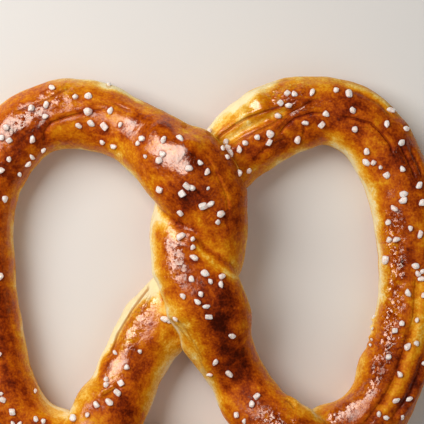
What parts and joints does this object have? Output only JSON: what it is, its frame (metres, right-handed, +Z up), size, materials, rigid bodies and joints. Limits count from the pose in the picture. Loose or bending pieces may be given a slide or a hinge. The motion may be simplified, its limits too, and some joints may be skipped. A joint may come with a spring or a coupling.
{
  "type": "soft pretzel",
  "caption": "Flat-bottomed twisted rope of glossy brown baked dough, looped into a knot with three open holes and sprinkled with coarse salt grains.",
  "frame": {"origin": "on the tray plane, under the middle of the loaf's bounding box", "axes": "+Z up from the tray, +X across the two lobes towards the lobe whose rope passes under the first crossing, +Y from the belly towards the top of the lobes"},
  "size_m": [0.1665, 0.1478, 0.0326],
  "materials": {
    "crust": "glossy lye-baked bread crust, mottled chestnut brown on top, amber on the flanks and cream where it stretched",
    "salt": "frosted translucent white coarse salt"
  },
  "bodies": {
    "root": {"pretzel_dough": "crust", "salt_belly_1": "salt", "salt_belly_2": "salt", "salt_belly_3": "salt", "salt_belly_4": "salt", "salt_left_arm_1": "salt", "salt_left_arm_2": "salt", "salt_left_arm_3": "salt", "salt_left_arm_4": "salt", "salt_left_arm_5": "salt", "salt_left_arm_6": "salt", "salt_left_arm_7": "salt", "salt_left_end_1": "salt", "salt_left_end_2": "salt", "salt_left_end_3": "salt", "salt_left_lobe_1": "salt", "salt_left_lobe_2": "salt", "salt_left_lobe_3": "salt", "salt_left_lobe_4": "salt", "salt_left_lobe_5": "salt", "salt_left_lobe_6": "salt", "salt_left_lobe_7": "salt", "salt_left_lobe_8": "salt", "salt_left_lobe_9": "salt", "salt_lower_crossing_1": "salt", "salt_lower_crossing_2": "salt", "salt_lower_crossing_3": "salt", "salt_lower_crossing_4": "salt", "salt_lower_crossing_5": "salt", "salt_lower_crossing_6": "salt", "salt_right_arm_1": "salt", "salt_right_arm_2": "salt", "salt_right_arm_3": "salt", "salt_right_arm_4": "salt", "salt_right_arm_5": "salt", "salt_right_arm_6": "salt", "salt_right_arm_7": "salt", "salt_right_arm_8": "salt", "salt_right_arm_9": "salt", "salt_right_end_1": "salt", "salt_right_end_2": "salt", "salt_right_end_3": "salt", "salt_right_lobe_1": "salt", "salt_right_lobe_2": "salt", "salt_right_lobe_3": "salt", "salt_right_lobe_4": "salt", "salt_right_lobe_5": "salt", "salt_right_lobe_6": "salt", "salt_right_lobe_7": "salt", "salt_right_lobe_8": "salt", "salt_right_lobe_9": "salt", "salt_upper_crossing_1": "salt", "salt_upper_crossing_2": "salt", "salt_upper_crossing_3": "salt", "salt_upper_crossing_4": "salt", "salt_upper_crossing_5": "salt", "salt_upper_crossing_6": "salt", "salt_upper_crossing_7": "salt", "salt_upper_crossing_8": "salt", "salt_upper_crossing_9": "salt"}
  },
  "joints": []
}
